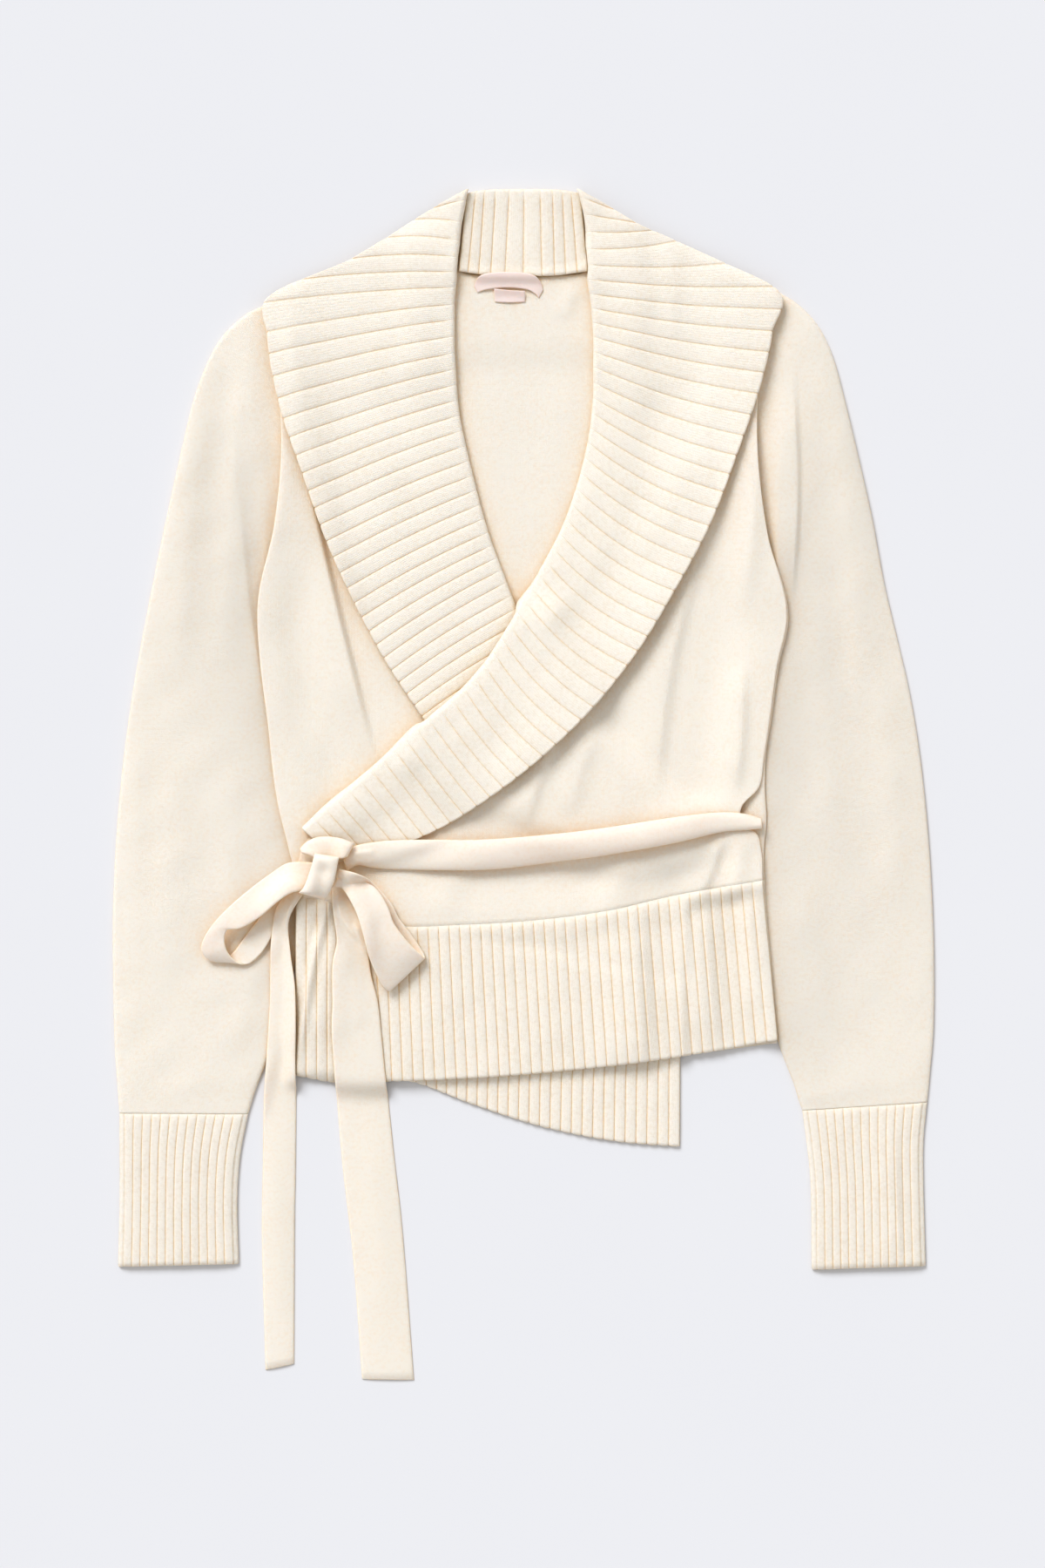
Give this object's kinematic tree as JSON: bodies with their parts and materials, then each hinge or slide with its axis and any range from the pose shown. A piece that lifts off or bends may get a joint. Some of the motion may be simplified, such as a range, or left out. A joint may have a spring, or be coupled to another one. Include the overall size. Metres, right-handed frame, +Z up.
{
  "type": "wrap cardigan",
  "caption": "Knitted wrap cardigan laid flat, with a wide ribbed shawl collar, ribbed hem and cuffs, and a waist tie made up in a bow.",
  "frame": {"origin": "on the surface that the garment lies on, under the middle of its bounding box", "axes": "+Z up off the surface, +Y towards the neck, +X towards the wearer's left"},
  "size_m": [0.5652, 0.8202, 0.0304],
  "materials": {
    "jersey": "plain knit, matt with a soft sheen",
    "rib": "ribbed knit, matt",
    "tie": "fine knitted ribbon, matt with a soft sheen",
    "label": "woven satin, bare"
  },
  "bodies": {
    "root": {"back": "jersey", "front_over": "jersey", "front_under": "jersey", "sleeve_left": "jersey", "sleeve_right": "jersey", "cuff_left": "rib", "cuff_right": "rib", "hem_back": "rib", "hem_front_over": "rib", "hem_front_under": "rib", "lapel_over": "rib", "lapel_under": "rib", "collar_back": "rib", "tie_root": "tie", "tie_strap": "tie", "tie_wrap": "tie", "tie_knot": "tie", "tie_loop_left": "tie", "tie_loop_right": "tie", "tie_tail_left": "tie", "tie_tail_right": "tie", "neck_label": "label", "size_tab": "label"}
  },
  "joints": []
}
